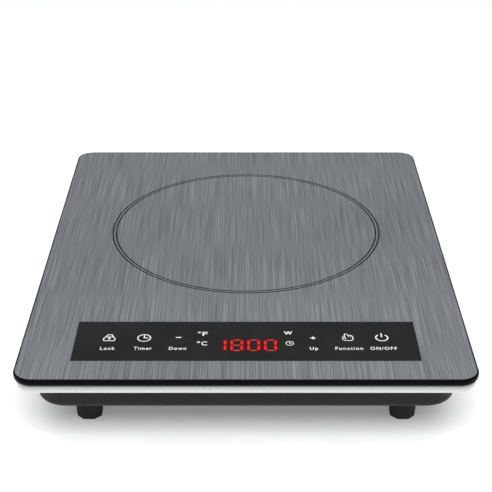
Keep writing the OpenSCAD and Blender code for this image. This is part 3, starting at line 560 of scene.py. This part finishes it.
def capacitor_sleeve():
    """Dark shrink sleeve with the bare aluminium of the can on top."""
    lip = 0.7 * MM
    sleeve_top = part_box("electrolytic_capacitors")[1].z - lip
    sleeve, can = ("#171a26", "#232838"), ("#a9abad", "#c4c6c8")
    return banded("capacitor_sleeve", "Z", (0.0, sleeve_top), sleeve, can)


def fuse_glass():
    """Glass tube between two metal caps."""
    low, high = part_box("fuse")
    cap = 5 * MM
    glass, metal = ("#b9c2c0", "#d9e0de"), ("#9a9ca0", "#c6c8cc")
    return banded("fuse_glass", "Y", (low.y + cap, high.y - cap), glass, metal, 0.12)


def wound(name, dark, light, turns, metallic=0.0):
    """Fine wire or tape wound in even turns."""
    surface = Surface(name, metallic=metallic, coat=0.3)
    turns_across = surface.node("ShaderNodeTexWave", wave_type="BANDS", bands_direction="DIAGONAL")
    turns_across.inputs["Scale"].default_value = turns
    turns_across.inputs["Distortion"].default_value = 0.4
    surface.link(surface.place, turns_across.inputs["Vector"])
    surface.to("Base Color", surface.ramp(turns_across.outputs["Fac"], [(0.1, dark), (0.9, light)]))
    surface.to("Roughness", surface.spread(turns_across.outputs["Fac"], 0.45, 0.3, 0, 1))
    surface.bump(turns_across.outputs["Fac"], 0.08 * MM)
    return surface.material


def slot_materials():
    """The finish of each material slot of the record."""
    metal = {"metallic": 1.0, "rough": (0.22, 0.42)}
    extruded, stacked = (900, 20, 900), (60, 60, 6000)  # directions that a grain is fine along
    return {
        "decor_glass": brushed_decor(),
        "black_silicone": grained("black_silicone", "#101011", "#18181a", rough=(0.5, 0.65)),
        "white_gloss": white_moulding(),
        "charcoal_plastic": grained("charcoal_plastic", "#1b1b1c", "#222223", 2200.0, (0.5, 0.62), 0.03,
                                    ior=1.28),
        "foot_rubber": grained("foot_rubber", "#1c1c1d", "#242425", 1300.0, (0.6, 0.78), 0.03, ior=1.35),
        "screw_steel": grained("screw_steel", "#8d8f93", "#b4b6ba", 1500.0, bump=0.006, **metal),
        "black_rubber": grained("black_rubber", "#151516", "#202021", 1100.0, (0.55, 0.7), 0.02),
        "coil_plastic": grained("coil_plastic", "#cfc6b2", "#ddd5c3", 800.0, (0.5, 0.65), 0.02),
        "copper": copper_litz(),
        "ferrite": grained("ferrite", "#1d1d1f", "#333336", 1800.0, (0.35, 0.6), 0.03),
        "mica": mica(),
        "silicone_red": grained("silicone_red", "#8e2f26", "#a8443a", 900.0, (0.5, 0.65)),
        "silicone_white": grained("silicone_white", "#d6d7d3", "#e5e6e2", 900.0, (0.5, 0.65)),
        "red_sleeving": wound("red_sleeving", "#8e1712", "#b3261e", 500.0),
        "brass": grained("brass", "#a98b4c", "#cdb170", 1200.0, bump=0.006, **metal),
        "power_board": circuit_board("power_board", "#8d7038", "#9c7f44", "#a98c50", "#b9bbbd"),
        "aluminium": grained("aluminium", "#9fa2a6", "#c3c5c9", 1.0, (0.3, 0.5), 0.02, 1.0, stretch=extruded),
        "black_resin": grained("black_resin", "#151516", "#222223", 1600.0, (0.4, 0.6), 0.02),
        "red_film": grained("red_film", "#84190f", "#9c2417", 500.0, (0.2, 0.3), 0.01, coat=0.4),
        "yellow_film": grained("yellow_film", "#b3922a", "#c9a83a", 500.0, (0.25, 0.4), 0.01, coat=0.3),
        "green_enamel": wound("green_enamel", "#183f22", "#2f6b3e", 260.0),
        "capacitor_sleeve": capacitor_sleeve(),
        "fuse_glass": fuse_glass(),
        "blue_epoxy": grained("blue_epoxy", "#163a72", "#22508f", 700.0, (0.25, 0.4), 0.03, coat=0.3),
        "nylon_natural": grained("nylon_natural", "#dcd8c8", "#ebe8db", 800.0, (0.4, 0.55)),
        "black_plastic": grained("black_plastic", "#161617", "#212122", 1500.0, (0.4, 0.55), 0.02),
        "lamination_steel": grained("lamination_steel", "#6f7175", "#93959a", 1.0, (0.35, 0.5), 0.04, 1.0,
                                    stretch=stacked),
        "shaft_steel": grained("shaft_steel", "#a8aaae", "#cfd1d5", 1800.0, (0.12, 0.22), 0.003, 1.0),
        "control_board": circuit_board("control_board", "#0e4526", "#135330", "#1c6b3e", "#b9bbbd"),
        "display_module": grained("display_module", "#0e0e0f", "#191919", 900.0, (0.4, 0.55)),
    }


# ---- the glass top and what is printed on it ----


def glass_top():
    """The plate, with a rounded, polished edge all round."""
    size = (GLASS_HIGH - GLASS_LOW).xy
    thickness = GLASS_HIGH.z - GLASS_LOW.z
    edge_in, edge_up, flat_strip, steps = 0.8 * MM, 1.3 * MM, 0.5 * MM, 6
    profile = [(edge_in + flat_strip, 0.0)]
    for i in range(steps + 1):
        a = math.radians(90 * i / steps)
        profile.append((edge_in * (1 - math.sin(a)), edge_up * (1 - math.cos(a))))
    profile += [(inset, thickness - rise) for inset, rise in reversed(profile)]
    rings = [
        rounded_ring(size.x - 2 * inset, size.y - 2 * inset, GLASS_CORNER - inset, GLASS_LOW.z + rise)
        for inset, rise in profile
    ]
    bm = bmesh.new()
    loft(bm, rings)
    face = black_glass("glass_face", "#1c1c1d", "#242425", 1.22)
    plate = finish_piece("glass_top", bm, face, replaces=["glass_plate"])
    # the rim and the underside take a darker copy of the glass colour than the top face: painted shade on the
    # edge
    plate.data.materials.append(black_glass("glass_rim_painted_shade", "#030303", "#070708", 1.12))
    for polygon in plate.data.polygons:
        polygon.material_index = 0 if polygon.normal.z > 0.99 else 1
    return plate


def ring_outline(radius, width):
    """A full ring as two outlines, the larger and the hole in it."""
    return disc(ZONE_CENTRE, radius + width / 2, 160), disc(ZONE_CENTRE, radius - width / 2, 160)


def decor_print(material):
    """The brushed print: it leaves the panel, the two zone lines and the plate's rim black."""
    size = (GLASS_HIGH - GLASS_LOW).xy / MM
    rim = rounded_ring(size.x - 2 * DECOR_INSET, size.y - 2 * DECOR_INSET, GLASS_CORNER / MM - DECOR_INSET, 0)
    inner, outer = (ring_outline(radius, ZONE_LINE_WIDTH) for radius in ZONE_LINES)
    bm = bmesh.new()
    add_print(bm, [[p[:2] for p in rim]], [box_outline(*PANEL), outer[0]])
    add_print(bm, [outer[1]], [inner[0]])
    add_print(bm, [inner[1]])
    return finish_piece("decor_print", bm, material)


def lock_icon():
    body = [
        (-3.0, -3.7), (3.0, -3.7), (3.6, -2.9), (3.6, -1.0),
        (2.6, 0.9), (-2.6, 0.9), (-3.6, -1.0), (-3.6, -2.9),
    ]
    shackle = [(-2.2, 0.9), (-1.5, 3.6), (1.5, 3.6), (2.2, 0.9)]
    keyhole = [disc((0, -0.6), 0.8, 16), bar((0, -0.6), (0, -2.4), 0.7)]
    return stroke(body, closed=True) + stroke(shackle) + keyhole


def clock_icon(radius, ticks, hand, line):
    """A clock's face with its hands, and ticks just inside its rim."""
    tick_length, tick_width = 0.8, 0.4
    face = stroke(arc((0, 0), radius, 0, 345, 23), line, closed=True)
    marks = []
    for i in range(ticks):
        a = math.radians(360 * i / ticks)
        start, end = [(r * math.cos(a), r * math.sin(a)) for r in (radius - tick_length, radius)]
        marks.append(bar(start, end, tick_width))
    return face + marks + stroke([(0, hand), (0, 0), (hand * 0.85, 0)], line * 1.2)


def minus_icon(size=1.75):
    return [bar((-size, 0), (size, 0), 1.05)]


def plus_icon(size=1.6):
    return minus_icon(size) + [bar((0, -size), (0, size), 0.8)]


def hand_icon():
    """An outlined hand with its first finger out; the thumb and two folded fingers are lines inside it."""
    outline = [
        (-1.2, 4.3), (-1.9, 3.8), (-2.1, 1.2), (-3.1, 0.6), (-3.4, -1.2), (-2.9, -2.9), (-1.5, -3.9),
        (2.2, -3.9), (3.4, -1.9), (3.3, 1.1), (2.2, 2.3), (0.0, 2.6), (-0.5, 3.9),
    ]
    thumb = stroke([(-2.1, 1.2), (-1.4, -1.8)], 0.6)
    fingers = stroke([(0.6, 2.4), (0.7, 0.5)], 0.45) + stroke([(2.1, 2.1), (2.1, 0.4)], 0.45)
    return stroke(outline, 0.6, closed=True) + thumb + fingers


def power_icon():
    return stroke(arc((0, -0.5), 3.85, 130, 410, 24), 0.85) + stroke([(0, 0.5), (0, 4.4)], 0.85)


def key_legends(ink):
    """The icon and the word of each key."""
    keys = [  # name, place along the row, lift of the icon, icon, word and its width
        ("lock", -88.0, 0.3, lock_icon(), "Lock", 9.4),
        ("timer", -65.6, 0.0, clock_icon(radius=4.2, ticks=12, hand=2.9, line=0.62), "Timer", 11.6),
        ("down", -43.5, 0.7, minus_icon(), "Down", 11.0),
        ("up", 43.2, 0.0, plus_icon(), "Up", 5.2),
        ("function", 65.6, 0.8, hand_icon(), "Function", 17.6),
        ("power", 87.5, 0.9, power_icon(), "ON/OFF", 16.9),
    ]
    for name, x, lift, icon, word, width in keys:
        bm = bmesh.new()
        add_print(bm, moved(icon, x, KEY_ICON_Y + lift))
        add_layer(bm, *lettering(word, x, KEY_WORD_Y, WORD_CAP, width, WORD_WEIGHT, WORD_SPACING))
        finish_piece(f"legend_{name}", bm, ink)


def unit_signs(ink):
    """The signs beside the display, for its two temperature scales, watts and minutes."""
    degree = stroke(arc(DEGREE_AT, DEGREE_RADIUS, 0, 315, 7), DEGREE_LINE, closed=True)
    scales = [("fahrenheit", -27.6, -124.2, "F", 3.3), ("celsius", -27.8, -136.2, "C", 3.7)]
    for name, x, y, letter, width in scales:
        bm = bmesh.new()
        add_print(bm, moved(degree, x, y))
        add_layer(bm, *lettering(letter, x + SIGN_SHIFT, y, SIGN_CAP, width, SIGN_WEIGHT))
        finish_piece(f"sign_{name}", bm, ink)
    bm = bmesh.new()
    add_layer(bm, *lettering("W", *WATTS_AT, cap=3.7, width=5.6, weight=0.03))
    finish_piece("sign_watts", bm, ink)
    bm = bmesh.new()
    add_print(bm, moved(clock_icon(radius=2.4, ticks=0, hand=1.1, line=0.5), *MINUTES_AT))
    finish_piece("sign_minutes", bm, ink)


def segment(letter, grow=0.0):
    """One of the seven segments, as a bar with pointed ends, about the digit's middle."""
    upright_gap, bar_gap, taper = 0.9, 1.9, 0.42
    half_x, half_y = DIGIT_HALF
    upright = letter in "bcef"
    length, thick = (half_y - upright_gap, UPRIGHT_WIDTH) if upright else (2 * half_x - bar_gap, BAR_WIDTH)
    half, across, point = length / 2 + grow, thick / 2 + grow, thick * taper
    outline = [
        (-half, -across + point), (-half + point, -across), (half - point, -across), (half, -across + point),
        (half, across - point), (half - point, across), (-half + point, across), (-half, across - point),
    ]
    if upright:
        outline = [(y, x) for x, y in outline]
    middles = {
        "a": (0, half_y), "b": (half_x, half_y / 2), "c": (half_x, -half_y / 2), "d": (0, -half_y),
        "e": (-half_x, -half_y / 2), "f": (-half_x, half_y / 2), "g": (0, 0),
    }
    return moved([outline], *middles[letter])[0]


def display_digits():
    """The lit number, in layers: the dim red edge of each segment, bright uprights and paler bars."""
    glow = lit_segments("segment_glow", "#4c0403", "#5a0605")
    light = lit_segments("segment_light", "#dd2a2b", "#ec3533")
    pale = lit_segments("segment_pale", "#c65250", "#d25c58")
    layers = [
        ("digit_glow", glow, "abcdefg", GLOW_REACH, 1.0),
        ("digit_uprights", light, "bcef", 0.0, 2.0),
        ("digit_bars", pale, "adg", 0.0, 1.5),
    ]
    for name, material, letters, grow, layer in layers:
        bm = bmesh.new()
        for i, figure in enumerate(DISPLAY_NUMBER):
            outlines = [segment(letter, grow) for letter in SEGMENTS[figure] if letter in letters]
            if outlines:
                x = DIGIT_FIRST_X + DIGIT_PITCH * i
                add_print(bm, moved(outlines, x, DIGIT_Y), thickness=INK * layer)
        finish_piece(name, bm, material)


# ---- the white frame ----


def white_frame(material):
    """The band under the glass: a channel-shaped rim with soft edges, an inner flange and six bosses."""
    outer = (FRAME_HIGH - FRAME_LOW).xy
    base = (HOUSING_HIGH - HOUSING_LOW).xy
    top, low = FRAME_HIGH.z, FRAME_HIGH.z - BAND_HEIGHT
    rim_r, wall, flange, reach = GLASS_CORNER + 1 * MM, 2.2 * MM, 2 * MM, 8 * MM
    soft, steps = 0.6 * MM, 5

    def outer_ring(inset, z):
        return rounded_ring(outer.x - 2 * inset, outer.y - 2 * inset, rim_r - inset, z)

    def base_ring(outset, z):
        return rounded_ring(base.x + 2 * outset, base.y + 2 * outset, HOUSING_CORNER + outset, z)

    turn = [math.radians(90 * i / steps) for i in range(steps + 1)]
    lower = [outer_ring(soft * (1 - math.sin(a)), low + soft * (1 - math.cos(a))) for a in turn]
    upper = [outer_ring(soft * (1 - math.cos(a)), top - soft * (1 - math.sin(a))) for a in turn]
    channel = [
        outer_ring(wall, top), outer_ring(wall, low + wall),
        base_ring(wall, low + wall), base_ring(wall, top),
        base_ring(-reach, top), base_ring(-reach, top - flange),
        base_ring(0, top - flange), base_ring(0, low),
    ]
    bm = bmesh.new()
    loft(bm, [*lower, *upper, *channel], closed=True)
    for side in (-1, 1):
        for y in BOSS_Y:
            add_boss(bm, (side * BOSS_X, y), side, top, flange)
    return finish_piece("white_frame", bm, material, replaces=["top_frame"])


def add_boss(bm, centre, side, top, flange):
    """A screw boss, open below for its screw, under a square lug that widens the flange there."""
    boss_r, pilot_r, roof, lug = 3.5 * MM, 1.55 * MM, 2 * MM, 6 * MM
    axis_r, sides = 0.001 * MM, 32
    low, flange_low = FRAME_LOW.z, top - flange
    profile = [
        (boss_r, low), (boss_r, flange_low), (axis_r, flange_low), (axis_r, flange_low - roof),
        (pilot_r, flange_low - roof), (pilot_r, low),
    ]
    before = set(bm.verts)
    loft(bm, [[(*p, z) for p in disc(centre, r, sides)] for r, z in profile], closed=True)
    # the points round the axis are made one
    bmesh.ops.remove_doubles(bm, verts=[v for v in bm.verts if v not in before], dist=1e-5)
    x, y = centre[0] - side * MM, centre[1]
    add_block(bm, (x - lug, y - lug, flange_low), (x + lug, y + lug, top))


# ---- springs under the touch keys ----


def touch_springs(material):
    """Coiled springs under the touch keys, three on each side, from the control board to the glass."""
    low, high = SPRINGS_LOW, SPRINGS_HIGH
    wire, radius, turns, steps = 0.4 * MM, 4.0 * MM, 6, 144
    flat_end = 0.08  # share of the wire that lies flat at each end
    y = (low.y + high.y) / 2
    pitch = (high.x - radius - wire - FIRST_SPRING_X) / 2
    bm = bmesh.new()
    for side in (-1, 1):
        for i in range(3):
            x = side * (FIRST_SPRING_X + i * pitch)
            path = []
            for k in range(steps + 1):
                share = k / steps
                a = 2 * math.pi * turns * share
                rise = min(max((share - flat_end) / (1 - 2 * flat_end), 0.0), 1.0)
                z = low.z + wire + rise * (high.z - low.z - 2 * wire)
                path.append(Vector((x + radius * math.cos(a), y + radius * math.sin(a), z)))
            tube(bm, path, wire)
    return finish_piece("touch_spring_coils", bm, material, replaces=["touch_springs"])


# ---- the room: floor, light and camera ----


def floor():
    """A pale floor, kept near white by a little light of its own."""
    surface = Surface("floor", roughness=0.6)
    pale = surface.ramp(surface.noise(3.0), [(0.3, "#f3f3f3"), (0.7, "#f5f5f5")])
    surface.to("Base Color", pale)
    surface.to("Emission Color", pale)
    surface.put("Emission Strength", 0.24)
    bm = bmesh.new()
    bmesh.ops.create_grid(bm, x_segments=8, y_segments=8, size=FLOOR_REACH)
    mesh = bpy.data.meshes.new("floor")
    bm.to_mesh(mesh)
    bm.free()
    mesh.materials.append(surface.material)
    plane = bpy.data.objects.new("floor", mesh)
    bpy.context.scene.collection.objects.link(plane)


def studio_sky():
    """A soft dome, bright overhead and dim lower down; a low pale band carries on from the floor."""
    pale, dim, bright = (0.68, 0.68, 0.68, 1), (0.22, 0.225, 0.23, 1), (1, 1, 1, 1)
    world = bpy.data.worlds.new("studio")
    world.use_nodes = True
    tree = world.node_tree
    place = tree.nodes.new("ShaderNodeTexCoord")
    split = tree.nodes.new("ShaderNodeSeparateXYZ")
    ramp = tree.nodes.new("ShaderNodeValToRGB")
    band = ramp.color_ramp.elements
    band[0].position, band[0].color = 0.04, pale
    band[1].position, band[1].color = 0.9, bright
    for height in (0.07, 0.62):
        band.new(height).color = dim
    tree.links.new(place.outputs["Generated"], split.inputs["Vector"])
    tree.links.new(split.outputs["Z"], ramp.inputs["Fac"])
    sky = tree.nodes["Background"]
    sky.inputs["Strength"].default_value = SKY_STRENGTH
    tree.links.new(ramp.outputs["Color"], sky.inputs["Color"])
    bpy.context.scene.world = world


def area_light(name, place, target, size, power):
    """A rectangular lamp that faces a target; power is in watts."""
    light = bpy.data.lights.new(name, "AREA")
    light.shape = "RECTANGLE"
    light.size, light.size_y = size
    light.energy = power
    lamp = bpy.data.objects.new(name, light)
    lamp.location = place
    lamp.rotation_euler = (Vector(target) - Vector(place)).to_track_quat("-Z", "Y").to_euler()
    bpy.context.scene.collection.objects.link(lamp)


def studio_lights():
    area_light("overhead", (0.0, 0.1, 1.6), (0, 0, 0), (2.0, 2.0), 6)
    area_light("front", (0.0, -1.0, 1.25), (0, -0.1, 0), (1.3, 0.8), 16)


def camera():
    """Looks down at the cooktop from in front of it."""
    lens = bpy.data.cameras.new("camera")
    lens.lens = CAMERA_LENS
    lens.sensor_width = 36.0
    eye = bpy.data.objects.new("camera", lens)
    eye.location = CAMERA_AT
    eye.rotation_euler = (math.radians(CAMERA_TILT), 0, 0)
    bpy.context.scene.collection.objects.link(eye)
    bpy.context.scene.camera = eye
    bpy.context.scene.view_settings.view_transform = "Standard"


# ---- put together ----


camera()
floor()
studio_sky()
studio_lights()

finishes = slot_materials()
slot_of = {part["node"]: part["material_slot"] for part in frame["record"]["subparts"]}
for node_name, node in frame["nodes"].items():
    node.data.materials.clear()
    node.data.materials.append(finishes[slot_of[node_name]])

glass_top()
decor_print(finishes["decor_glass"])
legend_ink = panel_ink()
key_legends(legend_ink)
unit_signs(legend_ink)
display_digits()
white_frame(finishes["white_gloss"])
touch_springs(finishes["screw_steel"])
